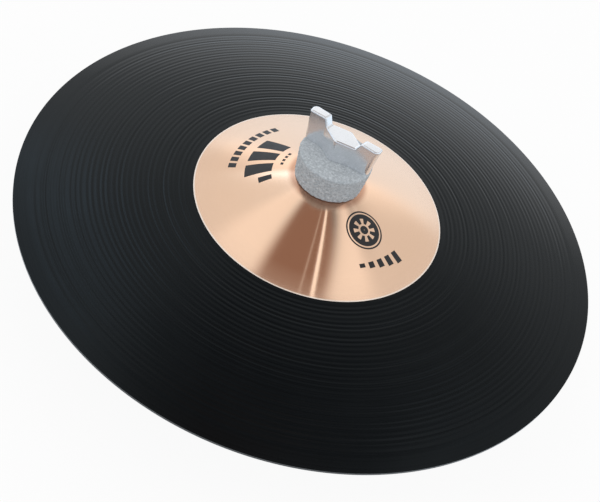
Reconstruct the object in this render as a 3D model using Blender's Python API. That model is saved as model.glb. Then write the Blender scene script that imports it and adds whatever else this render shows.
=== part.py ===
"""Cymbal clamped between two felts on the threaded end of a stand's rod.

Metres, +Z up along the cymbal's axis. The origin is the centre of the rod's lower
end, which a stand's clamp holds. Each piece is one object with its origin on that
axis. Heights are worked out upwards from the rod, one seat after another.
"""
import math

import bmesh
import bpy
from mathutils import Vector

# Fits
SEAT_GAP = 0.0003
RUNNING_GAP = 0.0003
HOLE_PLAY = 0.0015

# Rod: a plain shaft with a thinner threaded end
SHAFT_RADIUS = 0.00635
SHAFT_LENGTH = 0.0515
SHAFT_CHAMFER = 0.0008
THREAD_RADIUS = 0.0030
THREAD_CHAMFER = 0.0005
THREAD_IN_NUT = 0.0098

# Seat: a round collar on the thread and a cup washer on the collar
COLLAR_RADIUS = 0.0090
COLLAR_HEIGHT = 0.0085
COLLAR_CHAMFER = 0.0008
COLLAR_NECK = 0.0020
CUP_THICKNESS = 0.0012
CUP_LIP_HEIGHT = 0.0020
CUP_LIP_THICKNESS = 0.0008

# Felts and sleeve
LOWER_FELT_RADIUS = 0.0166
LOWER_FELT_THICKNESS = 0.0090
UPPER_FELT_RADIUS = 0.0175
UPPER_FELT_THICKNESS = 0.0157
UPPER_FELT_FLARE = 0.0014
FELT_ROUNDING = 0.0010
SLEEVE_WALL = 0.0015
SLEEVE_SHORT_OF_FELT = 0.0020

# Cymbal, with the angle of its upper face at each place from the edge to the crown.
# The bell's foot bends inwards from BELL_RADIUS over the width BELL_BLEND.
CYMBAL_RADIUS = 0.1524
SHEET_THICKNESS = 0.0012
BELL_RADIUS = 0.0660
BELL_BLEND = 0.0010
CROWN_RADIUS = 0.0170
EDGE_ANGLE = 9.09
BOW_ANGLE = 3.434
BELL_ANGLE = 21.80
CROWN_ANGLE = 17.484

# Wing nut: two wings set off from the axis, one to the front and one to the back
NUT_TURN = -13.0
HUB_HEIGHT = 0.0127
HUB_HALF_DEPTH = 0.0060
HUB_CORNER_X = 0.0019
HUB_DRAFT = 0.0003
WING_HEIGHT = 0.0175
WING_REACH = 0.0204
WING_FLARE = 0.0020
WING_FRONT = 0.0046
WING_DRAFT = 0.0012
WING_THICKNESS = 0.0050
WING_WIDENING = 0.0007
WING_ROOT_FRONT = 0.0083
WING_ROOT_BACK = 0.0095
WING_INNER_SLANT = 0.0020
WING_OUTER_ROUNDING = 0.0030
WING_INNER_ROUNDING = 0.0010
NUT_EDGE_ROUNDING = 0.0006
ROUND_PROFILE = 0.5
NUT_CAP_THICKNESS = 0.0018
SLIP_WASHER_WIDTH = 0.0016
SLIP_WASHER_THICKNESS = 0.0012

# Facets around the axis
CYMBAL_STEPS = 96
FELT_STEPS = 40
HARDWARE_STEPS = 32

# Radii that follow from the fits
SLEEVE_BORE = THREAD_RADIUS + RUNNING_GAP
SLEEVE_RADIUS = SLEEVE_BORE + SLEEVE_WALL
FELT_BORE = SLEEVE_RADIUS + RUNNING_GAP
HOLE_RADIUS = SLEEVE_RADIUS + HOLE_PLAY
THREAD_BORE = THREAD_RADIUS + RUNNING_GAP
CUP_INNER_RADIUS = LOWER_FELT_RADIUS + RUNNING_GAP
CUP_OUTER_RADIUS = CUP_INNER_RADIUS + CUP_LIP_THICKNESS
SLIP_WASHER_RADIUS = THREAD_BORE + SLIP_WASHER_WIDTH


def slope_points():
    """Radius and slope of the cymbal's upper face, from its edge to its centre."""
    angles = [
        (CYMBAL_RADIUS, EDGE_ANGLE),
        (BELL_RADIUS, BOW_ANGLE),
        (BELL_RADIUS - BELL_BLEND, BELL_ANGLE),
        (CROWN_RADIUS, CROWN_ANGLE),
        (0.0, 0.0),
    ]
    return [(radius, math.tan(math.radians(angle))) for radius, angle in angles]


def rise_at(radius):
    """Height of the cymbal's upper face over its edge, the sum of its slopes."""
    rise = 0.0
    points = slope_points()
    for (outer, outer_slope), (inner, inner_slope) in zip(points, points[1:]):
        if radius >= outer:
            break
        stop = max(radius, inner)
        share = (outer - stop) / (outer - inner)
        stop_slope = outer_slope + share * (inner_slope - outer_slope)
        rise += (outer - stop) * (outer_slope + stop_slope) / 2
    return rise


# Heights of the seats, from the rod's lower end upwards
COLLAR_BASE = SHAFT_LENGTH + SEAT_GAP
CUP_BASE = COLLAR_BASE + COLLAR_HEIGHT + SEAT_GAP
LOWER_FELT_BASE = CUP_BASE + CUP_THICKNESS + SEAT_GAP
LOWER_FELT_EDGE = LOWER_FELT_BASE + LOWER_FELT_THICKNESS
RIM_HEIGHT = (
    LOWER_FELT_EDGE + SEAT_GAP + SHEET_THICKNESS - rise_at(LOWER_FELT_RADIUS)
)
UPPER_FELT_EDGE = RIM_HEIGHT + rise_at(UPPER_FELT_RADIUS) + SEAT_GAP
UPPER_FELT_TOP = UPPER_FELT_EDGE + UPPER_FELT_THICKNESS
SLEEVE_BASE = CUP_BASE + CUP_THICKNESS + SEAT_GAP
SLEEVE_TOP = UPPER_FELT_TOP - SLEEVE_SHORT_OF_FELT
NUT_BASE = UPPER_FELT_TOP + SEAT_GAP
ROD_TOP = NUT_BASE + THREAD_IN_NUT
PIVOT_HEIGHT = RIM_HEIGHT + rise_at(HOLE_RADIUS) - SHEET_THICKNESS / 2


def cymbal_top(radius):
    """Height of the cymbal's upper face at this radius."""
    return RIM_HEIGHT + rise_at(radius)


def cymbal_under(radius):
    """Height of the cymbal's lower face at this radius."""
    return cymbal_top(radius) - SHEET_THICKNESS


def between(start, end, count):
    """Evenly spaced values from start to end, both included."""
    return [start + (end - start) * i / (count - 1) for i in range(count)]


def quarter_turn(centre_r, centre_z, radius, start_degrees, count=4):
    """Points along a quarter circle in the turning plane, anticlockwise."""
    angles = [math.radians(start_degrees + a) for a in between(0, 90, count)]
    return [
        (centre_r + radius * math.cos(a), centre_z + radius * math.sin(a))
        for a in angles
    ]


def make_material(name, colour, metallic, roughness):
    material = bpy.data.materials.new(name)
    material.use_nodes = True
    shader = material.node_tree.nodes["Principled BSDF"]
    shader.inputs["Base Color"].default_value = (*colour, 1.0)
    shader.inputs["Metallic"].default_value = metallic
    shader.inputs["Roughness"].default_value = roughness
    material.diffuse_color = (*colour, 1.0)
    return material


def make_object(name, bm, height, material, smooth_angle=35.0):
    """Turns the bmesh, built at world height, into an object whose origin is on the axis."""
    bmesh.ops.recalc_face_normals(bm, faces=bm.faces)
    bmesh.ops.translate(bm, verts=bm.verts, vec=(0, 0, -height))
    mesh = bpy.data.meshes.new(name)
    bm.to_mesh(mesh)
    bm.free()
    mesh.shade_smooth()
    mesh.set_sharp_from_angle(angle=math.radians(smooth_angle))
    if material:
        mesh.materials.append(material)
    obj = bpy.data.objects.new(name, mesh)
    obj.location = (0, 0, height)
    bpy.context.scene.collection.objects.link(obj)
    return obj


def turned(name, outline, height, material, steps):
    """Spins a closed outline of (radius, height) points into a solid."""
    bm = bmesh.new()
    verts = [bm.verts.new((radius, 0, z)) for radius, z in outline]
    edges = [bm.edges.new(pair) for pair in zip(verts, verts[1:] + verts[:1])]
    on_axis = [e for e in edges if all(v.co.x == 0 for v in e.verts)]
    for edge in on_axis:
        edges.remove(edge)
        bm.edges.remove(edge)
    bmesh.ops.spin(
        bm, geom=verts + edges, cent=(0, 0, 0), axis=(0, 0, 1),
        angle=math.tau, steps=steps, use_merge=True,
    )
    bmesh.ops.remove_doubles(bm, verts=bm.verts, dist=1e-7)
    return make_object(name, bm, height, material)


def make_rod(material):
    """The stand's rod: plain below for the clamp, threaded above for the nut."""
    outline = [
        (0.0, 0.0),
        (SHAFT_RADIUS - SHAFT_CHAMFER, 0.0),
        (SHAFT_RADIUS, SHAFT_CHAMFER),
        (SHAFT_RADIUS, SHAFT_LENGTH - SHAFT_CHAMFER),
        (SHAFT_RADIUS - SHAFT_CHAMFER, SHAFT_LENGTH),
        (THREAD_RADIUS, SHAFT_LENGTH),
        (THREAD_RADIUS, ROD_TOP - THREAD_CHAMFER),
        (THREAD_RADIUS - THREAD_CHAMFER, ROD_TOP),
        (0.0, ROD_TOP),
    ]
    return turned("rod", outline, 0.0, material, HARDWARE_STEPS)


def make_seat_collar(material):
    """The collar that carries the cup washer: a rim, a waist and a wider head."""
    base = COLLAR_BASE
    top = base + COLLAR_HEIGHT
    third = COLLAR_HEIGHT / 3
    waist = COLLAR_RADIUS - COLLAR_NECK
    outline = [
        (THREAD_BORE, base),
        (COLLAR_RADIUS - COLLAR_CHAMFER, base),
        (COLLAR_RADIUS, base + COLLAR_CHAMFER),
        (COLLAR_RADIUS, base + third),
        (waist, base + third + COLLAR_NECK / 2),
        (waist, top - third),
        (COLLAR_RADIUS, top - COLLAR_CHAMFER),
        (COLLAR_RADIUS - COLLAR_CHAMFER, top),
        (THREAD_BORE, top),
    ]
    return turned("seat_collar", outline, base, material, HARDWARE_STEPS)


def make_cup_washer(material):
    """A washer with a raised lip round the lower felt."""
    top = CUP_BASE + CUP_THICKNESS
    lip_top = top + CUP_LIP_HEIGHT
    outline = [
        (THREAD_BORE, CUP_BASE),
        (CUP_OUTER_RADIUS - CUP_LIP_THICKNESS, CUP_BASE),
        (CUP_OUTER_RADIUS, CUP_BASE + CUP_LIP_THICKNESS),
        (CUP_OUTER_RADIUS, lip_top - CUP_LIP_THICKNESS / 4),
        (CUP_OUTER_RADIUS - CUP_LIP_THICKNESS / 2, lip_top),
        (CUP_INNER_RADIUS, lip_top - CUP_LIP_THICKNESS / 4),
        (CUP_INNER_RADIUS, top),
        (THREAD_BORE, top),
    ]
    return turned("cup_washer", outline, CUP_BASE, material, HARDWARE_STEPS)


def make_sleeve(material):
    """The tube that keeps the cymbal's hole off the thread."""
    outline = [
        (SLEEVE_BORE, SLEEVE_BASE),
        (SLEEVE_RADIUS, SLEEVE_BASE),
        (SLEEVE_RADIUS, SLEEVE_TOP),
        (SLEEVE_BORE, SLEEVE_TOP),
    ]
    return turned("sleeve", outline, SLEEVE_BASE, material, HARDWARE_STEPS)


def make_lower_felt(material):
    """The felt under the crown. Its top follows the cymbal's lower face."""
    base = LOWER_FELT_BASE
    side = LOWER_FELT_RADIUS
    rounding = FELT_ROUNDING
    seat_radii = between(side - rounding, FELT_BORE, 4)
    outline = [(FELT_BORE, base)]
    outline += quarter_turn(side - rounding, base + rounding, rounding, -90, 3)
    outline += [(side, cymbal_under(side) - SEAT_GAP - rounding)]
    outline += [(r, cymbal_under(r) - SEAT_GAP) for r in seat_radii]
    return turned("lower_felt", outline, base, material, FELT_STEPS)


def make_upper_felt(material):
    """The thick felt on the crown, wider at its top. Its foot follows the cymbal."""
    base = UPPER_FELT_EDGE
    top = UPPER_FELT_TOP
    foot = UPPER_FELT_RADIUS
    head = foot + UPPER_FELT_FLARE
    rounding = FELT_ROUNDING
    seat_radii = between(FELT_BORE, foot - rounding, 4)
    outline = [(r, cymbal_top(r) + SEAT_GAP) for r in seat_radii]
    outline += [(foot, base + rounding)]
    outline += [(foot + UPPER_FELT_FLARE / 2, (base + top) / 2)]
    outline += quarter_turn(head - rounding, top - rounding, rounding, 0, 3)
    outline += [(FELT_BORE, top)]
    return turned("upper_felt", outline, base, material, FELT_STEPS)


def make_cymbal(material):
    """The bronze sheet: bow, bell and crown, with a hole for the sleeve."""
    blend_in = BELL_RADIUS - BELL_BLEND
    radii = between(CYMBAL_RADIUS, BELL_RADIUS, 6)
    radii += between(BELL_RADIUS, blend_in, 3)[1:]
    radii += between(blend_in, CROWN_RADIUS, 5)[1:]
    radii += between(CROWN_RADIUS, HOLE_RADIUS, 3)[1:]
    outline = [(r, cymbal_under(r)) for r in radii[::-1]]
    outline += [(r, cymbal_top(r)) for r in radii]
    return turned("cymbal", outline, PIVOT_HEIGHT, material, CYMBAL_STEPS)


def make_slip_washer(material):
    """The thin washer in the recess of the nut's underside. It rises with the nut."""
    inner = THREAD_BORE
    outer = SLIP_WASHER_RADIUS
    top = NUT_BASE + SLIP_WASHER_THICKNESS
    outline = [(inner, NUT_BASE), (outer, NUT_BASE), (outer, top), (inner, top)]
    return turned("slip_washer", outline, NUT_BASE, material, HARDWARE_STEPS)


def nut_outline(share, slant):
    """The nut's ten corners at a share of its height, five and then their opposites."""
    hub_depth = HUB_HALF_DEPTH + HUB_DRAFT * (1 - share)
    reach = WING_REACH - WING_FLARE * (1 - share)
    wing_front = WING_FRONT - WING_DRAFT * (1 - share)
    wing_back = WING_FRONT - WING_THICKNESS
    half = [
        (-HUB_CORNER_X, -hub_depth),
        (WING_ROOT_FRONT + slant, -wing_front),
        (reach, -wing_front - WING_WIDENING * share),
        (reach, -wing_back),
        (WING_ROOT_BACK + slant, -wing_back),
    ]
    return half + [(-x, -y) for x, y in half]


def move_corners(verts, outline, z):
    for vert, (x, y) in zip(verts, outline):
        vert.co = (x, y, z)


def make_nut_bore():
    """The cutter for the threaded bore and the slip washer's recess."""
    recess_radius = SLIP_WASHER_RADIUS + RUNNING_GAP
    recess_top = NUT_BASE + SLIP_WASHER_THICKNESS + SEAT_GAP
    bore_top = NUT_BASE + HUB_HEIGHT - NUT_CAP_THICKNESS
    below = NUT_BASE - HUB_HEIGHT / 4
    outline = [
        (0.0, below),
        (recess_radius, below),
        (recess_radius, recess_top),
        (THREAD_BORE, recess_top),
        (THREAD_BORE, bore_top),
        (0.0, bore_top),
    ]
    cutter = turned("nut_bore_cutter", outline, NUT_BASE, None, HARDWARE_STEPS)
    cutter.hide_render = True
    cutter.display_type = "WIRE"
    return cutter


def make_wing_nut(material):
    """The closed nut: a hub with slanted sides and one wing at each end."""
    base = nut_outline(0.0, 0.0)
    shoulder = nut_outline(HUB_HEIGHT / WING_HEIGHT, 0.0)
    top = nut_outline(1.0, WING_INNER_SLANT)

    bm = bmesh.new()
    low = [bm.verts.new((x, y, NUT_BASE)) for x, y in base]
    high = [bm.verts.new((x, y, NUT_BASE + HUB_HEIGHT)) for x, y in shoulder]
    bm.faces.new(low)
    for i in range(len(low)):
        j = (i + 1) % len(low)
        bm.faces.new((low[i], low[j], high[j], high[i]))
    bm.faces.new([high[i] for i in (0, 1, 4, 5, 6, 9)])
    for corners in ((1, 2, 3, 4), (6, 7, 8, 9)):
        face = bm.faces.new([high[i] for i in corners])
        grown = bmesh.ops.extrude_discrete_faces(bm, faces=[face])["faces"][0]
        move_corners(
            sorted(grown.verts, key=lambda v: nearest_corner(v, shoulder)),
            [top[i] for i in corners],
            NUT_BASE + WING_HEIGHT,
        )
    bmesh.ops.remove_doubles(bm, verts=bm.verts, dist=1e-7)
    round_end_edges(bm, False, WING_INNER_ROUNDING, 3)
    round_end_edges(bm, True, WING_OUTER_ROUNDING, 5)
    nut = make_object("wing_nut", bm, NUT_BASE, material)
    nut.rotation_euler.z = math.radians(NUT_TURN)

    rounding = nut.modifiers.new("rounded edges", "BEVEL")
    rounding.width = NUT_EDGE_ROUNDING
    rounding.segments = 2
    rounding.limit_method = "ANGLE"
    rounding.angle_limit = math.radians(40)
    bore = nut.modifiers.new("bore", "BOOLEAN")
    bore.operation = "DIFFERENCE"
    bore.solver = "EXACT"
    bore.object = make_nut_bore()
    return nut


def nearest_corner(vert, outline):
    """Which of the outline's corners this vertex stands on."""
    spot = Vector((vert.co.x, vert.co.y))
    return min(range(len(outline)), key=lambda i: (Vector(outline[i]) - spot).length)


def is_end_edge(edge, outer):
    """True for an upright edge at a wing's end, on the nut's outer or inner side."""
    first, second = (v.co for v in edge.verts)
    at_end = min(abs(first.x), abs(second.x)) > WING_REACH - 2 * WING_FLARE
    upright = abs(first.z - second.z) > WING_FLARE
    on_outer_side = abs(first.y) > WING_THICKNESS / 2
    return at_end and upright and on_outer_side == outer


def round_end_edges(bm, outer, rounding, segments):
    edges = [e for e in bm.edges if is_end_edge(e, outer)]
    bmesh.ops.bevel(
        bm, geom=edges, offset=rounding, segments=segments,
        profile=ROUND_PROFILE, affect="EDGES",
    )


def main():
    for obj in list(bpy.data.objects):
        bpy.data.objects.remove(obj, do_unlink=True)
    chrome = make_material("chrome", (0.80, 0.82, 0.85), 1.0, 0.08)
    steel = make_material("plated_steel", (0.62, 0.63, 0.65), 1.0, 0.25)
    bronze = make_material("black_coated_bronze", (0.035, 0.037, 0.042), 0.6, 0.35)
    felt = make_material("grey_felt", (0.36, 0.37, 0.37), 0.0, 0.95)
    nylon = make_material("black_nylon", (0.03, 0.03, 0.03), 0.0, 0.45)
    washer = make_material("white_nylon", (0.75, 0.74, 0.70), 0.0, 0.40)

    make_rod(chrome)
    make_seat_collar(chrome)
    make_cup_washer(steel)
    make_lower_felt(felt)
    make_sleeve(nylon)
    make_cymbal(bronze)
    make_upper_felt(felt)
    make_slip_washer(washer)
    make_wing_nut(chrome)


main()
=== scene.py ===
"""Looks of the clamped cymbal: finishes, felts, nut, prints, light and camera.

Everything is in metres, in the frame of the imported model: the origin is the centre of
the rod's lower end and +Z runs up along the cymbal's axis.
"""

import math

import bmesh
import bpy
import numpy as np
from mathutils import Matrix, Vector


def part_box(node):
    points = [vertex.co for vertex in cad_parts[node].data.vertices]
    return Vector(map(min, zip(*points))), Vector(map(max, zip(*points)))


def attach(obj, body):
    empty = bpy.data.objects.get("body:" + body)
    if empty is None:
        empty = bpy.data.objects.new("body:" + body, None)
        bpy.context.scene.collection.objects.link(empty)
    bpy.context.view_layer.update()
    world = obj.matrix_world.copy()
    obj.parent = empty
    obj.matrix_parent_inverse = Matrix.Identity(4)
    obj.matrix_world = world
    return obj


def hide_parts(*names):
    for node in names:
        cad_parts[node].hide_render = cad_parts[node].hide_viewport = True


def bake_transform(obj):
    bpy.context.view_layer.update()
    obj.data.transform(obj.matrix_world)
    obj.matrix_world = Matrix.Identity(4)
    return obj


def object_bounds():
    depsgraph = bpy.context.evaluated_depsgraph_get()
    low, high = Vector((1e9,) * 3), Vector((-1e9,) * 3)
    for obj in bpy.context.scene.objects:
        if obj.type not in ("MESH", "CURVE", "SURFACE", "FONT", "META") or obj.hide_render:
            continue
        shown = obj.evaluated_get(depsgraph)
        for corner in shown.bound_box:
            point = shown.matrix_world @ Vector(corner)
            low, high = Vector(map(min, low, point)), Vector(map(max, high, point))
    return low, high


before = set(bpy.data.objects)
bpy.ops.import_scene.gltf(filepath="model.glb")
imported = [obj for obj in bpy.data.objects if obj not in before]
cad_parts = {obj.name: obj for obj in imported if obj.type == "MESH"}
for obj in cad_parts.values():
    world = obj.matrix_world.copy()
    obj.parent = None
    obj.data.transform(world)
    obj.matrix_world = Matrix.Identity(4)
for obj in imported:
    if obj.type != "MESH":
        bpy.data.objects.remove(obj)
cad_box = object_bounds()

# Fits, as in the CAD
SEAT_GAP = 0.0003
RUNNING_GAP = 0.0003

# Cymbal: the angle of its upper face at each place from the edge to the crown
CYMBAL_RADIUS = 0.1524
SHEET = 0.0012
BELL_RADIUS = 0.0660
BELL_BLEND = 0.0010
CROWN_RADIUS = 0.0170
EDGE_ANGLE = 9.09
BOW_ANGLE = 3.434
BELL_ANGLE = 21.80
CROWN_ANGLE = 17.484
HOLE_RADIUS = 0.0063
COAT_START = 0.0656
DULL_START = 0.0540
# Width of a painted highlight line in the copper just inside the coat's edge
PAINTED_HIGHLIGHT_LINE = 0.0006
# Radii of a painted shade on the copper round the felt's foot, where the felt's shadow falls
FELT_SHADE = (0.0218, 0.0182)
COAT_GLOSS_RANGE = (0.42, 0.563)
COAT_GLOSS_CURVE = 1.3

# Turning grooves of the black bow, between the bell and a smooth band at the rim
# and a little deeper towards the bell: radius and depth
GROOVE_PITCH = 0.00255
GROOVE_DEPTHS = (
    (0.066, 0.000096), (0.095, 0.000076), (0.112, 0.000056), (0.125, 0.000050), (0.144, 0.000046),
)
FINE_GROOVE_PITCH = 0.00190
FINE_GROOVE_SHARE = 0.3
SMOOTH_RIM = 0.0085
POINTS_PER_GROOVE = 6
CYMBAL_STEPS = 360

# Rod and its thread
SHAFT_RADIUS = 0.00635
SHAFT_LENGTH = 0.0515
SHAFT_CHAMFER = 0.0008
THREAD_RADIUS = 0.0030
THREAD_PITCH = 0.0010
THREAD_DEPTH = 0.00045
THREAD_CHAMFER = 0.0005

# Seat collar, cup washer, sleeve, felts and slip washer
COLLAR_CHAMFER = 0.0008
COLLAR_NECK = 0.0020
KNURL_TEETH = 48
KNURL_DEPTH = 0.00022
CUP_THICKNESS = 0.0012
CUP_LIP_THICKNESS = 0.0008
SLEEVE_WALL = 0.0015
UPPER_FELT_FOOT = 0.0175
FELT_ROUNDING = 0.0011
FELT_BORE = 0.0051
FELT_LUMP = 0.00010
FELT_SWELL = 0.00024

# Wing nut: two wings set off from the axis, one to the front and one to the back
NUT_TURN = -13.0
HUB_HEIGHT = 0.0127
HUB_HALF_DEPTH = 0.0060
HUB_CORNER_X = 0.0019
HUB_DRAFT = 0.0003
WING_HEIGHT = 0.0175
WING_REACH = 0.0204
WING_FLARE = 0.0020
WING_FRONT = 0.0046
WING_DRAFT = 0.0012
WING_THICKNESS = 0.0050
WING_WIDENING = 0.0007
WING_ROOT_FRONT = 0.0083
WING_ROOT_BACK = 0.0095
WING_INNER_SLANT = 0.0020
WING_OUTER_ROUNDING = 0.0030
WING_INNER_ROUNDING = 0.0010
HUB_CREASE_ROUNDING = 0.0010
NUT_EDGE_ROUNDING = 0.0009
NUT_CAP_THICKNESS = 0.0018
SLIP_WASHER_WIDTH = 0.0016
SLIP_WASHER_THICKNESS = 0.0012
ROUND_PROFILE = 0.5

# Printed marks on the bell
INK_THICKNESS = 0.00005
INK_LIFT = 0.00001
BADGE_RADIUS = 0.0330
BADGE_AZIMUTH = 321.5
BADGE_SIZE = 0.0098

CYMBAL_LOW, CYMBAL_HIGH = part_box("cymbal")
FELT_LOW, FELT_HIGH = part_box("upper_felt")
UNDER_LOW, UNDER_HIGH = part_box("lower_felt")
COLLAR_LOW, COLLAR_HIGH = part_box("seat_collar")
CUP_LOW, CUP_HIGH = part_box("cup_washer")
SLEEVE_LOW, SLEEVE_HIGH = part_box("sleeve")
WASHER_LOW, WASHER_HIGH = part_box("slip_washer")
NUT_LOW, NUT_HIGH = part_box("wing_nut")
ROD_LOW, ROD_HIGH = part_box("rod")
RIM_HEIGHT = CYMBAL_LOW.z + SHEET
NUT_BASE = NUT_LOW.z
THREAD_BORE = THREAD_RADIUS + RUNNING_GAP

# The camera, found from the ellipses of the rim and of the bell's edge
FOCAL_PIXELS = 1085.0
PHOTO_WIDTH = 600.0
SENSOR = 36.0
CAMERA_DISTANCE = 0.5662
CAMERA_ELEVATION = math.radians(43.873)
CAMERA_ROLL = math.radians(20.903)
CAMERA_YAW = math.radians(0.764)
CAMERA_PITCH = math.radians(-1.955)

# Studio light. Places are the x or y of a direction of length 1, elevations are degrees.
# Overhead, a dark gap runs between two white softboxes, with a lit strip inside it.
CEILING_START = (54.0, 63.0)
CEILING_LEVEL = 1.08
GAP_LEFT = -0.207
GAP_RIGHT = 0.237
GAP_RIGHT_LEAN = 0.14
GAP_LEFT_SOFTNESS = 0.055
GAP_RIGHT_SOFTNESS = 0.042
GAP_FRONT_END = (-0.75, -0.60)
GAP_COLOUR_LOW = (0.19, 0.20, 0.22)
GAP_COLOUR_HIGH = (0.31, 0.20, 0.16)
GAP_COLOUR_CHANGE = (69.0, 76.0)
STRIP_PLACE = 0.1595
STRIP_LEAN = -0.13
STRIP_HALF_WIDTH = 0.013
STRIP_LEVEL = 1.35
FAINT_STRIP_PLACE = 0.080
FAINT_STRIP_LEAN = -0.05
FAINT_STRIP_HALF_WIDTH = 0.006
FAINT_STRIP_LEVEL = 0.35
# The back wall, from left to right, high up and low down. Its upper right corner is dim.
HIGH_WALL = (
    (-0.70, 0.90), (-0.60, 0.86), (-0.52, 0.88), (-0.43, 0.90), (-0.36, 0.86), (-0.28, 0.86),
    (0.00, 0.66), (0.15, 0.60), (0.25, 0.42), (0.31, 0.36), (0.38, 0.42), (0.47, 0.88),
    (0.58, 0.80), (0.70, 0.90),
)
LOW_WALL = (
    (-0.70, 0.92), (-0.60, 0.86), (-0.52, 0.82), (-0.43, 1.30), (-0.30, 1.30), (0.00, 1.22),
    (0.20, 1.20), (0.33, 1.22), (0.42, 1.05), (0.50, 0.82), (0.60, 0.80), (0.70, 0.90),
)
LOW_WALL_TOP = (50.0, 33.0)
# Tall narrow windows on the back wall, which the grooves catch: the place is x over y
WINDOW_PLACE = -0.71
WINDOW_HALF_WIDTH = 0.10
WINDOW_COLOUR = (1.75, 2.05, 2.35)
WINDOW_RISE = (34.0, 42.0)
WINDOW_TOP = (63.0, 59.0)
RIGHT_WINDOW_PLACE = 0.76
RIGHT_WINDOW_HALF_WIDTH = 0.07
RIGHT_WINDOW_COLOUR = (0.95, 1.02, 1.10)
RIGHT_WINDOW_RISE = (48.0, 52.0)
RIGHT_WINDOW_TOP = (61.0, 57.0)
# Low behind, the light is a little blue
LOW_BACK = (0.99, 1.11, 1.24)
LOW_BACK_TOP = (25.0, 13.0)
# The dim low side of the room behind the camera
DIM_FRONT = (0.62, 0.66, 0.74)
DIM_FRONT_TOP = (34.0, 24.0)
DIM_FRONT_SIDE = (-0.60, -0.80)
FLOOR_SIZE = 4.0
FLOOR_GLOW = 0.93
# What metal shows of the floor, behind the object and in front of it
FLOOR_REFLECTION = (0.99, 1.12, 1.24)
FRONT_FLOOR_REFLECTION = (0.52, 0.55, 0.59)
FLOOR_CHANGE = (-0.05, -0.40)


def rise_at(radius):
    """Height of the cymbal's upper face over its edge."""
    angles = (
        (CYMBAL_RADIUS, EDGE_ANGLE),
        (BELL_RADIUS, BOW_ANGLE),
        (BELL_RADIUS - BELL_BLEND, BELL_ANGLE),
        (CROWN_RADIUS, CROWN_ANGLE),
        (0.0, 0.0),
    )
    slopes = [(r, math.tan(math.radians(angle))) for r, angle in angles]
    rise = 0.0
    for (outer, outer_slope), (inner, inner_slope) in zip(slopes, slopes[1:]):
        if radius >= outer:
            break
        stop = max(radius, inner)
        share = (outer - stop) / (outer - inner)
        stop_slope = outer_slope + share * (inner_slope - outer_slope)
        rise += (outer - stop) * (outer_slope + stop_slope) / 2
    return rise


def top_at(radius):
    return RIM_HEIGHT + rise_at(radius)


def under_at(radius):
    return top_at(radius) - SHEET


def smooth_share(value, start, end):
    """0 before start, 1 after end and a smooth climb between them."""
    t = min(max((value - start) / (end - start), 0.0), 1.0)
    return t * t * (3 - 2 * t)


def new_object(name, verts, faces):
    mesh = bpy.data.meshes.new(name)
    mesh.from_pydata([tuple(v) for v in verts], [], faces)
    mesh.validate()
    mesh.shade_smooth()
    obj = bpy.data.objects.new(name, mesh)
    bpy.context.scene.collection.objects.link(obj)
    return obj


def grid_faces(rows, columns, wrap_rows, wrap_columns, offset=0):
    """Quads over a grid of points, the rows one after another."""
    faces = []
    for i in range(rows if wrap_rows else rows - 1):
        for j in range(columns if wrap_columns else columns - 1):
            after = (i + 1) % rows
            side = (j + 1) % columns
            faces.append((
                offset + i * columns + j,
                offset + after * columns + j,
                offset + after * columns + side,
                offset + i * columns + side,
            ))
    return faces


def lathe(name, outline, steps, ripple=None, material=None):
    """A closed outline of (radius, height) points turned round the Z axis.

    The outline runs anticlockwise with the radius to the right. ripple(radii, heights,
    angles) may change the radii of the whole grid.
    """
    points = np.array(outline, float)
    angles = np.arange(steps) * math.tau / steps
    radii = np.repeat(points[None, :, 0], steps, axis=0)
    heights = np.repeat(points[None, :, 1], steps, axis=0)
    turns = np.repeat(angles[:, None], len(points), axis=1)
    if ripple:
        radii = ripple(radii, heights, turns)
    verts = np.stack([radii * np.cos(turns), radii * np.sin(turns), heights], axis=2)
    obj = new_object(name, verts.reshape(-1, 3), grid_faces(steps, len(points), True, True))
    if material:
        obj.data.materials.append(material)
    return obj


def rounded(corners, rounding, segments=4):
    """The outline with each corner replaced by an arc of this radius, where it fits."""
    count = len(corners)
    result = []
    for i in range(count):
        here = Vector(corners[i])
        before = Vector(corners[i - 1]) - here
        after = Vector(corners[(i + 1) % count]) - here
        half = before.angle(after) / 2
        reach = rounding / math.tan(half)
        limit = min(before.length, after.length) * 0.45
        if half > math.radians(80) or reach > limit:
            reach = min(reach, limit)
        start = here + before.normalized() * reach
        end = here + after.normalized() * reach
        for j in range(segments + 1):
            t = j / segments
            first = start.lerp(here, t)
            second = here.lerp(end, t)
            result.append(tuple(first.lerp(second, t)))
    return result


def finish_piece(obj, body, node):
    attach(obj, body)
    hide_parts(node)


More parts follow.
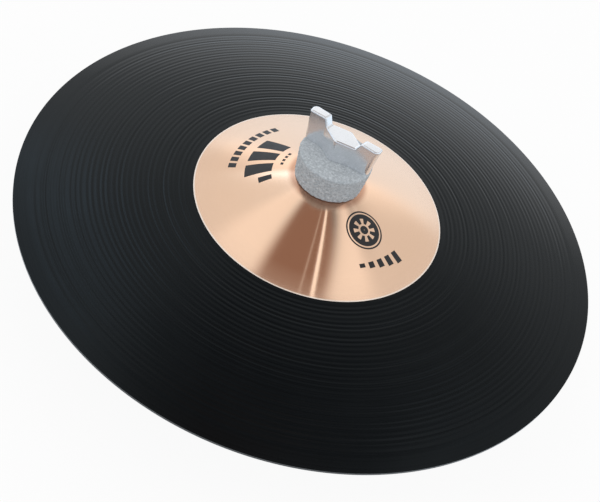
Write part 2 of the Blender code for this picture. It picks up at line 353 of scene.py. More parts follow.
class Graph:
    """Short ways to add and join the nodes of a shader tree."""

    def __init__(self, tree):
        self.tree = tree

    def node(self, kind, settings=None, **inputs):
        node = self.tree.nodes.new(kind)
        for key, value in (settings or {}).items():
            setattr(node, key, value)
        for key, value in inputs.items():
            self.put(node, key.replace("_", " "), value)
        return node

    def put(self, node, key, value):
        socket = node.inputs[int(key)] if key.isdigit() else node.inputs[key]
        if isinstance(value, bpy.types.NodeSocket):
            self.tree.links.new(value, socket)
        else:
            socket.default_value = value

    def maths(self, operation, first, second=0.0):
        node = self.node("ShaderNodeMath", {"operation": operation})
        self.put(node, "0", first)
        self.put(node, "1", second)
        return node.outputs[0]

    def straight(self, value, start, end):
        """0 before start, 1 after end and a straight line between them."""
        node = self.node("ShaderNodeMapRange")
        self.put(node, "Value", value)
        self.put(node, "From Min", start)
        self.put(node, "From Max", end)
        return node.outputs[0]

    def climb(self, value, start, end):
        """0 before start, 1 after end and a smooth climb between them."""
        node = self.node("ShaderNodeMapRange", {"interpolation_type": "SMOOTHSTEP"})
        self.put(node, "Value", value)
        self.put(node, "From Min", start)
        self.put(node, "From Max", end)
        return node.outputs[0]

    def mix(self, share, first, second):
        node = self.node("ShaderNodeMix", {"data_type": "RGBA"})
        self.put(node, "0", share)
        self.put(node, "6", first)
        self.put(node, "7", second)
        return node.outputs[2]

    def ramp(self, fac, stops):
        node = self.node("ShaderNodeValToRGB")
        self.put(node, "Fac", fac)
        elements = node.color_ramp.elements
        while len(elements) < len(stops):
            elements.new(0.5)
        for element, (position, colour) in zip(elements, stops):
            element.position = position
            element.color = (*colour, 1.0)
        return node.outputs["Color"]


class Finish(Graph):
    """A material with one Principled shader and nodes that drive it."""

    def __init__(self, name, colour, metallic=0.0, roughness=0.5):
        self.material = bpy.data.materials.new(name)
        self.material.use_nodes = True
        super().__init__(self.material.node_tree)
        self.shader = self.tree.nodes["Principled BSDF"]
        self.shader.inputs["Base Color"].default_value = (*colour, 1.0)
        self.shader.inputs["Metallic"].default_value = metallic
        self.shader.inputs["Roughness"].default_value = roughness

    def place(self):
        return self.node("ShaderNodeTexCoord").outputs["Object"]

    def noise(self, scale, detail=4.0, vector=None):
        node = self.node("ShaderNodeTexNoise", Scale=scale, Detail=detail)
        self.put(node, "Vector", vector or self.place())
        return node.outputs["Fac"]

    def rings(self, scale, detail):
        """Noise that changes with the distance from the axis alone, like turning marks."""
        node = self.node("ShaderNodeTexNoise", {"noise_dimensions": "1D"})
        self.put(node, "Scale", scale)
        self.put(node, "Detail", detail)
        self.put(node, "W", self.radius())
        return node.outputs["Fac"]

    def radius(self):
        parts = self.node("ShaderNodeSeparateXYZ", Vector=self.place())
        flat = self.node("ShaderNodeCombineXYZ", X=parts.outputs[0], Y=parts.outputs[1])
        length = self.node("ShaderNodeVectorMath", {"operation": "LENGTH"})
        self.put(length, "0", flat.outputs[0])
        return length.outputs["Value"]

    def bump(self, height, strength, distance):
        node = self.node("ShaderNodeBump", Strength=strength, Distance=distance)
        self.put(node, "Height", height)
        self.tree.links.new(node.outputs["Normal"], self.shader.inputs["Normal"])

    def turned_sheen(self, amount):
        """Stretches highlights along the radius, as fine turning marks do."""
        tangent = self.node("ShaderNodeTangent", {"direction_type": "RADIAL", "axis": "Z"})
        self.shader.inputs["Anisotropic"].default_value = amount
        self.shader.inputs["Anisotropic Rotation"].default_value = 0.25
        self.tree.links.new(tangent.outputs[0], self.shader.inputs["Tangent"])

    def vary(self, socket, fac, low, high):
        """Drives a socket between two values where the noise is near its middle."""
        self.put(self.shader, socket, self.ramp(fac, ((0.3, (low,) * 3), (0.7, (high,) * 3))))


def black_coat():
    """Black lacquer over turned bronze: dark, with fine rings and more gloss at low angles."""
    n = Finish("black_coat", (0.0045, 0.0052, 0.0062), 0.0, 0.22)
    n.shader.inputs["Specular IOR Level"].default_value = 0.175
    n.shader.inputs["Specular Tint"].default_value = (0.86, 1.0, 1.07, 1.0)
    n.shader.inputs["Coat Roughness"].default_value = 0.20
    facing = n.node("ShaderNodeLayerWeight", Blend=0.5).outputs["Facing"]
    low, high = COAT_GLOSS_RANGE
    gloss = n.maths("POWER", n.straight(facing, low, high), COAT_GLOSS_CURVE)
    n.put(n.shader, "Coat Weight", gloss)
    fine = n.rings(1500.0, 2.0)
    cloud = n.noise(35.0, 3.0)
    n.put(n.shader, "Base Color", n.ramp(
        fine, ((0.35, (0.0014, 0.0017, 0.0020)), (0.65, (0.0034, 0.0038, 0.0044)))
    ))
    n.vary("Roughness", cloud, 0.19, 0.24)
    n.bump(fine, 0.15, 0.00002)
    return n.material


def copper():
    """The bare bell: turned copper-coloured bronze, a mirror that dulls towards its edge, with a painted
    highlight line inside the coat's edge and painted shade round the felt's foot.
    """
    n = Finish("bare_copper_bell", (0.87, 0.60, 0.43), 1.0, 0.15)
    fine = n.rings(2600.0, 3.0)
    turned = n.ramp(fine, ((0.3, (0.86, 0.59, 0.42)), (0.7, (0.88, 0.61, 0.44))))
    outwards = n.straight(n.radius(), DULL_START, COAT_START)
    # Painted highlight: a lighter, less metallic line in the copper just inside the coat's edge
    line = n.climb(n.radius(), COAT_START - 1.4 * PAINTED_HIGHLIGHT_LINE, COAT_START - 0.6 * PAINTED_HIGHLIGHT_LINE)
    # Painted shade: darker copper round the felt's foot, standing in for its shadow
    shaded = n.mix(n.climb(n.radius(), *FELT_SHADE), turned, (0.54, 0.31, 0.21, 1.0))
    n.put(n.shader, "Base Color", n.mix(line, shaded, (1.0, 0.87, 0.76, 1.0)))
    n.put(n.shader, "Metallic", n.ramp(outwards, (
        (0.0, (1.0,) * 3), (0.70, (0.84,) * 3), (0.93, (0.70,) * 3), (0.965, (0.10,) * 3),
    )))
    n.vary("Roughness", fine, 0.09, 0.11)
    n.turned_sheen(1.0)
    return n.material


def bare_edge():
    """The cut edges of the rim and of the hole: dull metal."""
    n = Finish("cut_metal_edge", (0.10, 0.096, 0.092), 1.0, 0.35)
    n.vary("Roughness", n.noise(400.0), 0.28, 0.44)
    return n.material


def ink():
    n = Finish("black_print", (0.006, 0.006, 0.007), 0.0, 0.42)
    n.vary("Roughness", n.noise(500.0), 0.36, 0.48)
    n.bump(n.noise(1800.0), 0.1, 0.00002)
    return n.material


def chrome(name, colour, roughness):
    """Plated cast metal: a mirror with a slight waviness."""
    n = Finish(name, colour, 0.85, roughness)
    n.vary("Roughness", n.noise(250.0), roughness * 0.8, roughness * 1.25)
    n.bump(n.noise(120.0, 2.0), 0.05, 0.0004)
    return n.material


def steel():
    n = Finish("plated_steel", (0.60, 0.61, 0.63), 1.0, 0.28)
    fine = n.rings(3000.0, 2.0)
    n.vary("Roughness", n.noise(300.0), 0.22, 0.36)
    n.turned_sheen(0.5)
    n.bump(fine, 0.15, 0.00004)
    return n.material


def felt():
    """Pressed grey wool: mottled by pale and dark fibres of about half a millimetre."""
    n = Finish("grey_felt", (0.36, 0.37, 0.375), 0.0, 0.95)
    tuft = n.noise(900.0, 5.0)
    fibre = n.noise(2600.0, 3.0)
    tone = n.maths("ADD", n.maths("MULTIPLY", tuft, 0.6), n.maths("MULTIPLY", fibre, 0.4))
    n.put(n.shader, "Base Color", n.ramp(tone, (
        (0.34, (0.35, 0.385, 0.41)),
        (0.47, (0.49, 0.53, 0.555)),
        (0.55, (0.57, 0.61, 0.635)),
        (0.66, (0.74, 0.785, 0.81)),
    )))
    n.shader.inputs["Sheen Weight"].default_value = 0.15
    n.bump(tone, 0.5, 0.0003)
    return n.material


def nylon(name, colour):
    n = Finish(name, colour, 0.0, 0.42)
    n.vary("Roughness", n.noise(200.0), 0.36, 0.48)
    n.bump(n.noise(900.0), 0.1, 0.00005)
    return n.material


def groove_rows():
    """Radius and depth of each point of the turned bow, from its rim to the bell's foot.

    The lathe's grooves are a little uneven in width and depth.
    """
    rng = np.random.default_rng(11)
    places, depths = zip(*GROOVE_DEPTHS)
    rows = [(CYMBAL_RADIUS - SMOOTH_RIM * i / 4, 0.0) for i in range(5)]
    radius = CYMBAL_RADIUS - SMOOTH_RIM
    while radius > BELL_RADIUS + 1.2 * GROOVE_PITCH:
        pitch = GROOVE_PITCH * rng.uniform(0.90, 1.12)
        depth = float(np.interp(radius, places, depths)) * rng.uniform(0.7, 1.2)
        for i in range(1, POINTS_PER_GROOVE + 1):
            share = i / POINTS_PER_GROOVE
            here = radius - pitch * share
            groove = 0.5 - 0.5 * math.cos(math.tau * share)
            fine = 0.5 - 0.5 * math.cos(math.tau * here / FINE_GROOVE_PITCH)
            rows.append((here, depth * (groove + FINE_GROOVE_SHARE * fine)))
        radius -= pitch
    return rows


def even_radii(start, end, count):
    """Evenly spaced radii after start, the last one being end."""
    return [start + (end - start) * i / count for i in range(1, count + 1)]


def build_cymbal(coat, bell, edge):
    """The cymbal's sheet with its turning grooves, bare bell and cut edges."""
    top = [(r, top_at(r) - depth) for r, depth in groove_rows()]
    foot = even_radii(top[-1][0], BELL_RADIUS, 4)
    foot += even_radii(BELL_RADIUS, COAT_START, 2)
    first_bare = len(top) + len(foot)
    foot += even_radii(COAT_START, BELL_RADIUS - BELL_BLEND, 3)
    foot += even_radii(BELL_RADIUS - BELL_BLEND, CROWN_RADIUS, 24)
    foot += even_radii(CROWN_RADIUS, HOLE_RADIUS, 8)
    top += [(r, top_at(r)) for r in foot]
    under = [HOLE_RADIUS] + even_radii(HOLE_RADIUS, BELL_RADIUS - BELL_BLEND, 14)
    under += even_radii(BELL_RADIUS - BELL_BLEND, BELL_RADIUS, 3)
    under += even_radii(BELL_RADIUS, CYMBAL_RADIUS, 14)
    outline = [(r, under_at(r)) for r in under] + top
    obj = lathe("cymbal_sheet", outline, CYMBAL_STEPS)
    for material in (coat, bell, edge):
        obj.data.materials.append(material)
    first_top = len(under)
    ring = np.arange(len(obj.data.polygons)) % len(outline)
    index = np.zeros(len(ring), np.int32)
    index[ring >= first_top + first_bare - 1] = 1
    index[ring == first_top - 1] = 2
    index[ring == len(outline) - 1] = 2
    obj.data.polygons.foreach_set("material_index", index)
    obj.data.set_sharp_from_angle(angle=math.radians(40))
    finish_piece(obj, "cymbal", "cymbal")


def ink_patch(spot, rows, columns, closed):
    """A thin raised patch on the bell. spot(s, t) gives its plan place for 0 to 1."""
    verts = []
    for lift in (INK_LIFT, INK_THICKNESS):
        for i in range(rows):
            for j in range(columns):
                across = j / columns if closed else j / (columns - 1)
                x, y = spot(i / (rows - 1), across)
                verts.append((x, y, top_at(math.hypot(x, y)) + lift))
    layer = rows * columns
    low = grid_faces(rows, columns, False, closed)
    high = grid_faces(rows, columns, False, closed, layer)
    faces = [face[::-1] for face in low] + high
    border = [list(range(columns)), [(rows - 1) * columns + j for j in range(columns)]]
    if closed:
        border = [line + line[:1] for line in border]
    else:
        border.append([i * columns for i in range(rows)])
        border.append([i * columns + columns - 1 for i in range(rows)])
    for line in border:
        faces += [(a, b, b + layer, a + layer) for a, b in zip(line, line[1:])]
    return verts, faces


def bell_bar(inner, outer, start, end, lean=0.0):
    """A bar between two radii and two azimuths in degrees; lean shifts its outer side."""
    def spot(s, t):
        radius = inner + (outer - inner) * s
        azimuth = math.radians(start + (end - start) * t + lean * s)
        return radius * math.cos(azimuth), radius * math.sin(azimuth)
    return ink_patch(spot, 5, 9, False)


def badge_ring(inner, outer, start=0.0, end=360.0):
    """A ring, or a part of one, round the badge's centre."""
    azimuth = math.radians(BADGE_AZIMUTH)
    centre_x = BADGE_RADIUS * math.cos(azimuth)
    centre_y = BADGE_RADIUS * math.sin(azimuth)
    whole = end - start >= 360.0

    def spot(s, t):
        radius = inner + (outer - inner) * s
        angle = math.radians(start + (end - start) * t)
        return centre_x + radius * math.cos(angle), centre_y + radius * math.sin(angle)
    return ink_patch(spot, 4, 72 if whole else 9, whole)


def join_patches(name, patches, material):
    verts, faces = [], []
    for patch_verts, patch_faces in patches:
        base = len(verts)
        verts += patch_verts
        faces += [tuple(base + i for i in face) for face in patch_faces]
    obj = new_object(name, verts, faces)
    bm = bmesh.new()
    bm.from_mesh(obj.data)
    bmesh.ops.recalc_face_normals(bm, faces=bm.faces)
    bm.to_mesh(obj.data)
    bm.free()
    obj.data.set_sharp_from_angle(angle=math.radians(40))
    obj.data.materials.append(material)
    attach(obj, "cymbal")


def build_prints(material):
    """Plain marks where the real bell is printed: bars, dots and a round badge."""
    bars = [bell_bar(0.0285, 0.0415, 146 + 17 * i, 158 + 17 * i, 6.0) for i in range(3)]
    bars.append(bell_bar(0.0285, 0.0350, 197, 203, 3.0))
    bars += [bell_bar(0.0462, 0.0500, 136 + 6 * i, 140 + 6 * i) for i in range(9)]
    bars += [bell_bar(0.0238, 0.0252, 156 + 7 * i, 160 + 7 * i) for i in range(4)]
    join_patches("printed_bars", bars, material)

    size = BADGE_SIZE
    badge = [badge_ring(size * 0.92, size), badge_ring(size * 0.60, size * 0.84)]
    badge += [badge_ring(size * 0.32, size * 0.60, 45 * i, 45 * i + 24) for i in range(8)]
    badge.append(badge_ring(size * 0.02, size * 0.22))
    join_patches("printed_badge", badge, material)

    row = [bell_bar(0.0482, 0.0482 + 0.0010 * (i + 2), 307 + 6 * i, 310.5 + 6 * i) for i in range(5)]
    join_patches("printed_row", row, material)


def felt_ripple(radii, heights, turns):
    """Uneven wool: small lumps that fade towards the bore."""
    share = np.clip((radii - FELT_BORE) / (UPPER_FELT_FOOT - FELT_BORE), 0.0, 1.0)
    lumps = np.zeros_like(radii)
    rng = np.random.default_rng(7)
    for _ in range(40):
        around = rng.integers(5, 70)
        up = rng.uniform(-3000, 3000)
        phase = rng.uniform(0, math.tau)
        lumps += np.sin(around * turns + up * heights + 0.4 * up * radii + phase)
    return radii + FELT_LUMP * share ** 4 * lumps / math.sqrt(20) - FELT_LUMP * share ** 4


def add_fibres(obj, outline, count, seed):
    """Loose wool fibres: short curved threads that lie along the felt's sides."""
    rng = np.random.default_rng(seed)
    lengths = [math.dist(a, b) for a, b in zip(outline, outline[1:])]
    total = np.cumsum(lengths)
    verts = [tuple(v.co) for v in obj.data.vertices]
    faces = [tuple(p.vertices) for p in obj.data.polygons]
    thick = 0.00004
    for _ in range(count):
        at = rng.uniform(0, total[-1])
        i = int(np.searchsorted(total, at))
        (r0, z0), (r1, z1) = outline[i], outline[i + 1]
        share = rng.uniform(0, 1)
        along = Vector((r1 - r0, z1 - z0)).normalized()
        out = Vector((along.y, -along.x))
        radius = r0 + (r1 - r0) * share
        height = z0 + (z1 - z0) * share
        azimuth = rng.uniform(0, math.tau)
        heading = rng.uniform(0, math.tau)
        bend = rng.uniform(-1.5, 1.5)
        length = rng.uniform(0.0006, 0.0018)
        rise = rng.uniform(0.00002, 0.00010)
        base = len(verts)
        for j in range(4):
            t = j / 3
            walk = length * (t - 0.5)
            turn = heading + bend * (t - 0.5)
            side = walk * math.cos(turn)
            up = walk * math.sin(turn)
            lift = rise * (0.2 + 1.6 * t * (1 - t) * 2) - 0.00010
            r = radius + along.x * up + out.x * lift
            z = height + along.y * up + out.y * lift
            a = azimuth + side / radius
            for k in range(3):
                corner = math.tau * k / 3
                rr = r + thick * math.cos(corner)
                zz = z + thick * math.sin(corner)
                verts.append((rr * math.cos(a), rr * math.sin(a), zz))
        for j in range(3):
            for k in range(3):
                n = (k + 1) % 3
                faces.append((
                    base + j * 3 + k, base + j * 3 + n, base + j * 3 + 3 + n, base + j * 3 + 3 + k,
                ))
        faces.append((base + 2, base + 1, base))
        faces.append((base + 9, base + 10, base + 11))
    mesh = bpy.data.meshes.new(obj.data.name + "_wool")
    mesh.from_pydata(verts, [], faces)
    mesh.shade_smooth()
    for material in obj.data.materials:
        mesh.materials.append(material)
    obj.data = mesh


def line_points(start, end, count):
    """Evenly spaced points from start towards end, the end left out."""
    return [
        (start[0] + (end[0] - start[0]) * i / count, start[1] + (end[1] - start[1]) * i / count)
        for i in range(count)
    ]


def soft_corner(centre, radius, start, steps):
    """Points along a quarter circle from this angle in degrees, anticlockwise."""
    angles = [math.radians(start + 90 * i / steps) for i in range(steps + 1)]
    return [(centre[0] + radius * math.cos(a), centre[1] + radius * math.sin(a)) for a in angles]


def build_upper_felt(material):
    """The thick felt: its foot follows the crown, and it is a little wider at its top."""
    head, high = FELT_HIGH.x, FELT_HIGH.z
    foot = UPPER_FELT_FOOT
    base = top_at(foot) + SEAT_GAP
    rounding = FELT_ROUNDING
    seat_count = 12
    seat_radii = [FELT_BORE + (foot - 0.4 * rounding - FELT_BORE) * i / seat_count for i in range(seat_count + 1)]
    outline = [(r, top_at(r) + SEAT_GAP) for r in seat_radii]
    high += FELT_SWELL
    outline += line_points((foot, base + 0.4 * rounding), (head, high - rounding), 36)
    outline += soft_corner((head - rounding, high - rounding), rounding, 0, 5)
    outline += line_points((head - rounding - 0.0003, high), (FELT_BORE, high), 30)
    outline.append((FELT_BORE, high))
    obj = lathe("upper_felt_wool", outline, 200, felt_ripple, material)
    add_fibres(obj, outline[seat_count + 1:-2], 2600, 3)
    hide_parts("upper_felt")
    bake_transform(obj)


def build_lower_felt(material):
    """The felt under the crown, whose top follows the cymbal's lower face."""
    side, low = UNDER_HIGH.x, UNDER_LOW.z
    rounding = FELT_ROUNDING
    edge_top = under_at(side) - SEAT_GAP
    seat_count = 12
    outline = line_points((FELT_BORE, low), (side - rounding, low), 8)
    outline += soft_corner((side - rounding, low + rounding), rounding, -90, 5)
    outline += line_points((side, low + rounding + 0.0004), (side, edge_top - 0.4 * rounding), 18)
    first = len(outline)
    seat_radii = [side - 0.4 * rounding - (side - 0.4 * rounding - FELT_BORE) * i / seat_count for i in range(seat_count + 1)]
    outline += [(r, under_at(r) - SEAT_GAP) for r in seat_radii]
    obj = lathe("lower_felt_wool", outline, 200, felt_ripple, material)
    add_fibres(obj, outline[9:first - 1], 900, 5)
    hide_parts("lower_felt")
    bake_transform(obj)


def build_rod(material):
    """The rod: a plain polished shaft and a cut thread above it."""
    top = ROD_HIGH.z
    rows_per_turn = 8
    count = round((top - SHAFT_LENGTH) / THREAD_PITCH * rows_per_turn)
    outline = [(0.0002, 0.0), (SHAFT_RADIUS - SHAFT_CHAMFER - 0.0002, 0.0)]
    outline += soft_corner(
        (SHAFT_RADIUS - SHAFT_CHAMFER, SHAFT_CHAMFER), SHAFT_CHAMFER, -90, 5)
    outline += soft_corner(
        (SHAFT_RADIUS - SHAFT_CHAMFER, SHAFT_LENGTH - SHAFT_CHAMFER), SHAFT_CHAMFER, 0, 5)
    outline.append((THREAD_RADIUS, SHAFT_LENGTH))
    for i in range(1, count):
        z = SHAFT_LENGTH + (top - SHAFT_LENGTH) * i / count
        chamfer = max(0.0, z - (top - THREAD_CHAMFER))
        outline.append((THREAD_RADIUS - chamfer, z))
    outline += [(THREAD_RADIUS - THREAD_CHAMFER, top), (0.0002, top)]

    def cut_thread(radii, heights, turns):
        place = (heights / THREAD_PITCH - turns / math.tau) % 1.0
        groove = 1 - np.abs(2 * place - 1)
        depth = np.clip(groove * 1.3 - 0.15, 0.0, 1.0) * THREAD_DEPTH
        on_thread = (heights > SHAFT_LENGTH + THREAD_PITCH) & (radii > THREAD_RADIUS / 2)
        return np.where(on_thread, radii - depth, radii)

    obj = lathe("threaded_rod", outline, 72, cut_thread, material)
    obj.data.set_sharp_from_angle(angle=math.radians(50))
    finish_piece(obj, "arm", "rod")


def build_collar(material):
    """The collar that carries the stack, with a straight knurl round its foot."""
    low, high = COLLAR_LOW.z, COLLAR_HIGH.z
    side = COLLAR_HIGH.x
    third = (high - low) / 3
    waist = side - COLLAR_NECK
    chamfer = COLLAR_CHAMFER / 2
    outline = rounded([
        (THREAD_BORE, low),
        (side - chamfer, low),
        (side, low + chamfer),
        (side, low + third),
        (waist, low + third + COLLAR_NECK / 2),
        (waist, high - third),
        (side, high - COLLAR_CHAMFER),
        (side - chamfer, high),
        (THREAD_BORE, high),
    ], 0.0003, 3)

    def knurl(radii, heights, turns):
        teeth = 0.5 - 0.5 * np.cos(KNURL_TEETH * turns)
        band = (heights > low + chamfer) & (heights < low + third) & (radii > waist + COLLAR_NECK / 2)
        return np.where(band, radii - KNURL_DEPTH * teeth, radii)

    obj = lathe("knurled_collar", outline, KNURL_TEETH * 6, knurl, material)
    obj.data.set_sharp_from_angle(angle=math.radians(50))
    finish_piece(obj, "arm", "seat_collar")


def build_cup(material):
    """The cup washer with its raised lip."""
    low, high, side = CUP_LOW.z, CUP_HIGH.z, CUP_HIGH.x
    inner = side - CUP_LIP_THICKNESS
    floor_top = low + CUP_THICKNESS
    outline = rounded([
        (THREAD_BORE, low),
        (side - CUP_LIP_THICKNESS, low),
        (side, low + CUP_LIP_THICKNESS),
        (side, high),
        (inner, high),
        (inner, floor_top),
        (THREAD_BORE, floor_top),
    ], 0.00035, 4)
    obj = lathe("pressed_cup", outline, 144, None, material)
    obj.data.set_sharp_from_angle(angle=math.radians(50))
    finish_piece(obj, "arm", "cup_washer")


def build_tube(name, node, body, low, high, wall, material):
    """A plain tube or washer with softened edges."""
    outer = high.x
    inner = outer - wall
    corners = [(inner, low.z), (outer, low.z), (outer, high.z), (inner, high.z)]
    obj = lathe(name, rounded(corners, 0.0002, 3), 96, None, material)
    obj.data.set_sharp_from_angle(angle=math.radians(50))
    finish_piece(obj, body, node)


def nut_outline(share, slant):
    """The nut's ten corners at a share of its height, five and then their opposites."""
    hub_depth = HUB_HALF_DEPTH + HUB_DRAFT * (1 - share)
    reach = WING_REACH - WING_FLARE * (1 - share)
    wing_front = WING_FRONT - WING_DRAFT * (1 - share)
    wing_back = WING_FRONT - WING_THICKNESS
    half = [
        (-HUB_CORNER_X, -hub_depth),
        (WING_ROOT_FRONT + slant, -wing_front),
        (reach, -wing_front - WING_WIDENING * share),
        (reach, -wing_back),
        (WING_ROOT_BACK + slant, -wing_back),
    ]
    return half + [(-x, -y) for x, y in half]


def round_edges(bm, chosen, rounding, segments):
    edges = [e for e in bm.edges if chosen(*(v.co for v in e.verts))]
    bmesh.ops.bevel(
        bm, geom=edges, offset=rounding, segments=segments,
        profile=ROUND_PROFILE, affect="EDGES",
    )


def build_nut(material):
    """The closed nut: a hub with slanted sides and one wing at each end."""
    base = nut_outline(0.0, 0.0)
    shoulder = nut_outline(HUB_HEIGHT / WING_HEIGHT, 0.0)
    top = nut_outline(1.0, WING_INNER_SLANT)
    bm = bmesh.new()
    low = [bm.verts.new((x, y, 0.0)) for x, y in base]
    high = [bm.verts.new((x, y, HUB_HEIGHT)) for x, y in shoulder]
    peak = {i: bm.verts.new((*top[i], WING_HEIGHT)) for i in (1, 2, 3, 4, 6, 7, 8, 9)}
    bm.faces.new(low[::-1])
    for i in range(len(low)):
        j = (i + 1) % len(low)
        bm.faces.new((low[i], low[j], high[j], high[i]))
    bm.faces.new([high[i] for i in (0, 1, 4, 5, 6, 9)])
    for wing in ((1, 2, 3, 4), (6, 7, 8, 9)):
        bm.faces.new([peak[i] for i in wing])
        for i, j in zip(wing, wing[1:] + wing[:1]):
            bm.faces.new((high[i], high[j], peak[j], peak[i]))
    bmesh.ops.recalc_face_normals(bm, faces=bm.faces)

    def at_end(a, b):
        far = min(abs(a.x), abs(b.x)) > WING_REACH - 2 * WING_FLARE
        return far and abs(a.z - b.z) > WING_FLARE

    half_wing = WING_THICKNESS / 2
    round_edges(bm, lambda a, b: at_end(a, b) and abs(a.y) < half_wing, WING_INNER_ROUNDING, 5)
    round_edges(bm, lambda a, b: at_end(a, b) and abs(a.y) > half_wing, WING_OUTER_ROUNDING, 10)
    hub = HUB_CORNER_X * 1.5
    round_edges(
        bm, lambda a, b: max(abs(a.x), abs(b.x)) < hub and abs(a.z - b.z) > WING_FLARE,
        HUB_CREASE_ROUNDING, 5,
    )
    weight = bm.edges.layers.float.new("bevel_weight_edge")
    for edge in bm.edges:
        above = max(v.co.z for v in edge.verts) > NUT_EDGE_ROUNDING
        edge[weight] = 1.0 if above and edge.calc_face_angle() > math.radians(30) else 0.0
    bmesh.ops.rotate(
        bm, verts=bm.verts, cent=(0, 0, 0), matrix=Matrix.Rotation(math.radians(NUT_TURN), 3, "Z")
    )
    bmesh.ops.translate(bm, verts=bm.verts, vec=(0, 0, NUT_BASE))
    mesh = bpy.data.meshes.new("cast_wing_nut")
    bm.to_mesh(mesh)
    bm.free()
    mesh.shade_smooth()
    mesh.materials.append(material)
    obj = bpy.data.objects.new("cast_wing_nut", mesh)
    bpy.context.scene.collection.objects.link(obj)

    rounding = obj.modifiers.new("rounded edges", "BEVEL")
    rounding.width = NUT_EDGE_ROUNDING
    rounding.segments = 6
    rounding.limit_method = "WEIGHT"
    rounding.use_clamp_overlap = False

    recess = WASHER_HIGH.x + RUNNING_GAP
    recess_top = NUT_BASE + SLIP_WASHER_THICKNESS + SEAT_GAP
    bore_top = NUT_BASE + HUB_HEIGHT - NUT_CAP_THICKNESS
    below = NUT_BASE - HUB_HEIGHT / 4
    cutter = lathe("nut_bore_cutter", [
        (0.0002, below), (recess, below), (recess, recess_top),
        (THREAD_BORE, recess_top), (THREAD_BORE, bore_top), (0.0002, bore_top),
    ], 64)
    bore = obj.modifiers.new("bore", "BOOLEAN")
    bore.operation = "DIFFERENCE"
    bore.solver = "EXACT"
    bore.object = cutter
    bake_modifiers(obj)
    bpy.data.objects.remove(cutter, do_unlink=True)
    obj.data.set_sharp_from_angle(angle=math.radians(35))
    weighted = obj.modifiers.new("even shading", "WEIGHTED_NORMAL")
    weighted.keep_sharp = True
    bake_modifiers(obj)
    finish_piece(obj, "nut", "wing_nut")


def bake_modifiers(obj):
    """Turns the object's evaluated shape into its own mesh."""
    evaluated = obj.evaluated_get(bpy.context.evaluated_depsgraph_get())
    mesh = bpy.data.meshes.new_from_object(evaluated)
    obj.modifiers.clear()
    obj.data = mesh


def build_world():
    """White walls and two ceiling softboxes with a dark gap between them."""
    world = bpy.data.worlds.new("studio")
    world.use_nodes = True
    bpy.context.scene.world = world
    g = Graph(world.node_tree)
    parts = g.node("ShaderNodeSeparateXYZ", Vector=g.node("ShaderNodeTexCoord").outputs["Generated"])
    x, y, z = parts.outputs
    elevation = g.maths("DEGREES", g.maths("ARCSINE", z))
    white = (1.0, 1.0, 1.0, 1.0)

    def level(value):
        return (value, value, value, 1.0)

    def strip(place, lean, half_width):
        middle = g.maths("ADD", g.maths("MULTIPLY", y, lean), place)
        distance = g.maths("ABSOLUTE", g.maths("SUBTRACT", x, middle))
        return g.climb(distance, half_width * 1.25, half_width * 0.75)

    high = g.climb(elevation, *GAP_COLOUR_CHANGE)
    dark = g.mix(high, (*GAP_COLOUR_LOW, 1.0), (*GAP_COLOUR_HIGH, 1.0))
    lit = g.maths("MULTIPLY", strip(STRIP_PLACE, STRIP_LEAN, STRIP_HALF_WIDTH), high)
    faint = strip(FAINT_STRIP_PLACE, FAINT_STRIP_LEAN, FAINT_STRIP_HALF_WIDTH)
    faint = g.maths("MULTIPLY", faint, high)
    dark = g.mix(lit, dark, level(STRIP_LEVEL))
    dark = g.mix(g.maths("MULTIPLY", faint, FAINT_STRIP_LEVEL), dark, white)
    left = g.climb(x, GAP_LEFT - GAP_LEFT_SOFTNESS, GAP_LEFT + GAP_LEFT_SOFTNESS)
    inwards = g.maths("SUBTRACT", x, g.maths("MULTIPLY", y, GAP_RIGHT_LEAN))
    right = g.climb(inwards, GAP_RIGHT + GAP_RIGHT_SOFTNESS, GAP_RIGHT - GAP_RIGHT_SOFTNESS)
    inside = g.maths("MULTIPLY", left, right)
    ceiling = g.mix(inside, level(CEILING_LEVEL), dark)

    across = g.maths("MULTIPLY", g.maths("ADD", x, 1.0), 0.5)

    def wall(stops):
        """The wall's level at each x, from stops that may be over 1."""
        most = max(value for _, value in stops)
        scaled = [((place + 1) / 2, (value / most,) * 3) for place, value in stops]
        node = g.node("ShaderNodeVectorMath", {"operation": "SCALE"}, Scale=most)
        g.put(node, "0", g.ramp(across, scaled))
        return node.outputs[0]

    back = g.mix(g.climb(elevation, *LOW_WALL_TOP), wall(HIGH_WALL), wall(LOW_WALL))
    back = g.mix(g.climb(elevation, *CEILING_START), back, ceiling)
    sideways = g.maths("DIVIDE", x, g.maths("MAXIMUM", y, 0.1))

    def window(under, place, half_width, colour, rise, top):
        distance = g.maths("ABSOLUTE", g.maths("SUBTRACT", sideways, place))
        shape = g.climb(distance, half_width * 1.4, half_width * 0.6)
        shape = g.maths("MULTIPLY", shape, g.climb(elevation, *rise))
        shape = g.maths("MULTIPLY", shape, g.climb(elevation, *top))
        return g.mix(shape, under, (*colour, 1.0))

    back = window(
        back, WINDOW_PLACE, WINDOW_HALF_WIDTH, WINDOW_COLOUR, WINDOW_RISE, WINDOW_TOP)
    back = window(
        back, RIGHT_WINDOW_PLACE, RIGHT_WINDOW_HALF_WIDTH, RIGHT_WINDOW_COLOUR,
        RIGHT_WINDOW_RISE, RIGHT_WINDOW_TOP)
    back = g.mix(g.climb(elevation, *LOW_BACK_TOP), back, (*LOW_BACK, 1.0))

    front_gap = g.maths("MULTIPLY", inside, g.climb(y, *GAP_FRONT_END))
    front = g.mix(front_gap, white, dark)
    low_front = g.maths("MULTIPLY", g.climb(y, *DIM_FRONT_SIDE), g.climb(elevation, *DIM_FRONT_TOP))
    front = g.mix(low_front, front, (*DIM_FRONT, 1.0))
    room = g.mix(g.climb(y, -0.05, -0.25), back, front)

    seen = g.node("ShaderNodeLightPath").outputs["Is Camera Ray"]
    background = g.tree.nodes["Background"]
    g.put(background, "Color", g.mix(seen, room, white))


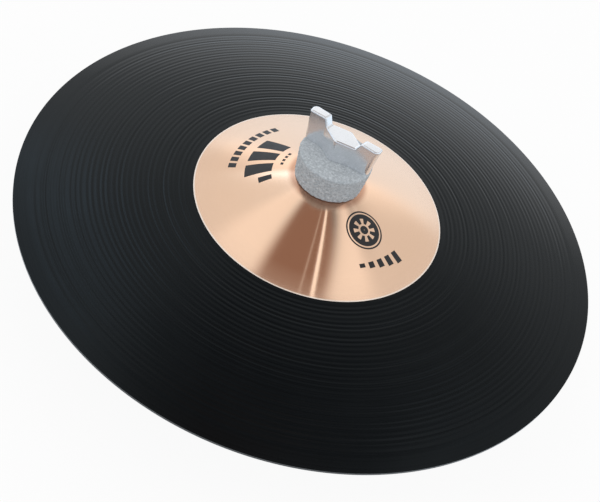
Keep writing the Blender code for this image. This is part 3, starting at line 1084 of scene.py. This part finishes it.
def build_floor():
    """A plain white floor that glows a little for the camera and keeps the shadow."""
    size = FLOOR_SIZE
    low = cad_box[0].z
    corners = [(-size, -size, low), (size, -size, low), (size, size, low), (-size, size, low)]
    floor = new_object("floor", corners, [(0, 1, 2, 3)])
    n = Finish("floor", (0.92, 0.92, 0.92), 0.0, 0.8)
    n.shader.inputs["Specular IOR Level"].default_value = 0.0
    path = n.node("ShaderNodeLightPath").outputs
    glow = n.node("ShaderNodeEmission", Strength=1.0)
    spot = n.node("ShaderNodeSeparateXYZ", Vector=n.node("ShaderNodeNewGeometry").outputs["Position"])
    mirrored = n.mix(
        n.climb(spot.outputs["Y"], *FLOOR_CHANGE),
        (*FLOOR_REFLECTION, 1.0), (*FRONT_FLOOR_REFLECTION, 1.0),
    )
    n.put(glow, "Color", n.mix(path["Is Camera Ray"], mirrored, (1.0, 1.0, 1.0, 1.0)))
    looked = n.maths("MAXIMUM", path["Is Camera Ray"], path["Is Glossy Ray"])
    looked = n.maths("MAXIMUM", looked, path["Is Transmission Ray"])
    mixed = n.node("ShaderNodeMixShader")
    n.put(mixed, "0", n.maths("MULTIPLY", looked, FLOOR_GLOW))
    n.put(mixed, "1", n.shader.outputs[0])
    n.put(mixed, "2", glow.outputs[0])
    n.put(n.tree.nodes["Material Output"], "Surface", mixed.outputs[0])
    floor.data.materials.append(n.material)


def build_camera():
    """The photograph's camera: it looks at the rim's centre, then rolls and turns a little."""
    e = CAMERA_ELEVATION
    ahead = Vector((0, math.cos(e), -math.sin(e)))
    right = Vector((1, 0, 0))
    up = right.cross(ahead)
    view = Matrix((right, -up, ahead))
    roll = Matrix.Rotation(CAMERA_ROLL, 3, "Z")
    yaw = Matrix.Rotation(CAMERA_YAW, 3, "Y")
    pitch = Matrix.Rotation(-CAMERA_PITCH, 3, "X")
    rows = pitch @ yaw @ roll @ view
    camera = bpy.data.cameras.new("camera")
    camera.sensor_width = SENSOR
    camera.lens = FOCAL_PIXELS / PHOTO_WIDTH * SENSOR
    camera.clip_start = 0.01
    camera.clip_end = 20.0
    obj = bpy.data.objects.new("camera", camera)
    turn = Matrix((rows[0], -rows[1], -rows[2])).transposed()
    place = Vector((0, 0, RIM_HEIGHT)) - ahead * CAMERA_DISTANCE
    obj.matrix_world = Matrix.Translation(place) @ turn.to_4x4()
    bpy.context.scene.collection.objects.link(obj)
    bpy.context.scene.camera = obj


def main():
    build_cymbal(black_coat(), copper(), bare_edge())
    build_prints(ink())
    wool = felt()
    build_upper_felt(wool)
    build_lower_felt(wool)
    polished = chrome("polished_chrome", (0.50, 0.52, 0.55), 0.09)
    build_nut(chrome("cast_chrome", (0.84, 0.86, 0.89), 0.20))
    build_rod(polished)
    build_collar(polished)
    build_cup(steel())
    build_tube(
        "nylon_sleeve", "sleeve", "felt_stack",
        SLEEVE_LOW, SLEEVE_HIGH, SLEEVE_WALL, nylon("black_nylon", (0.03, 0.03, 0.03)),
    )
    build_tube(
        "nylon_slip_washer", "slip_washer", "nut_carrier",
        WASHER_LOW, WASHER_HIGH, SLIP_WASHER_WIDTH, nylon("white_nylon", (0.75, 0.74, 0.70)),
    )
    build_world()
    build_floor()
    build_camera()
    bpy.context.scene.view_settings.view_transform = "Standard"


main()
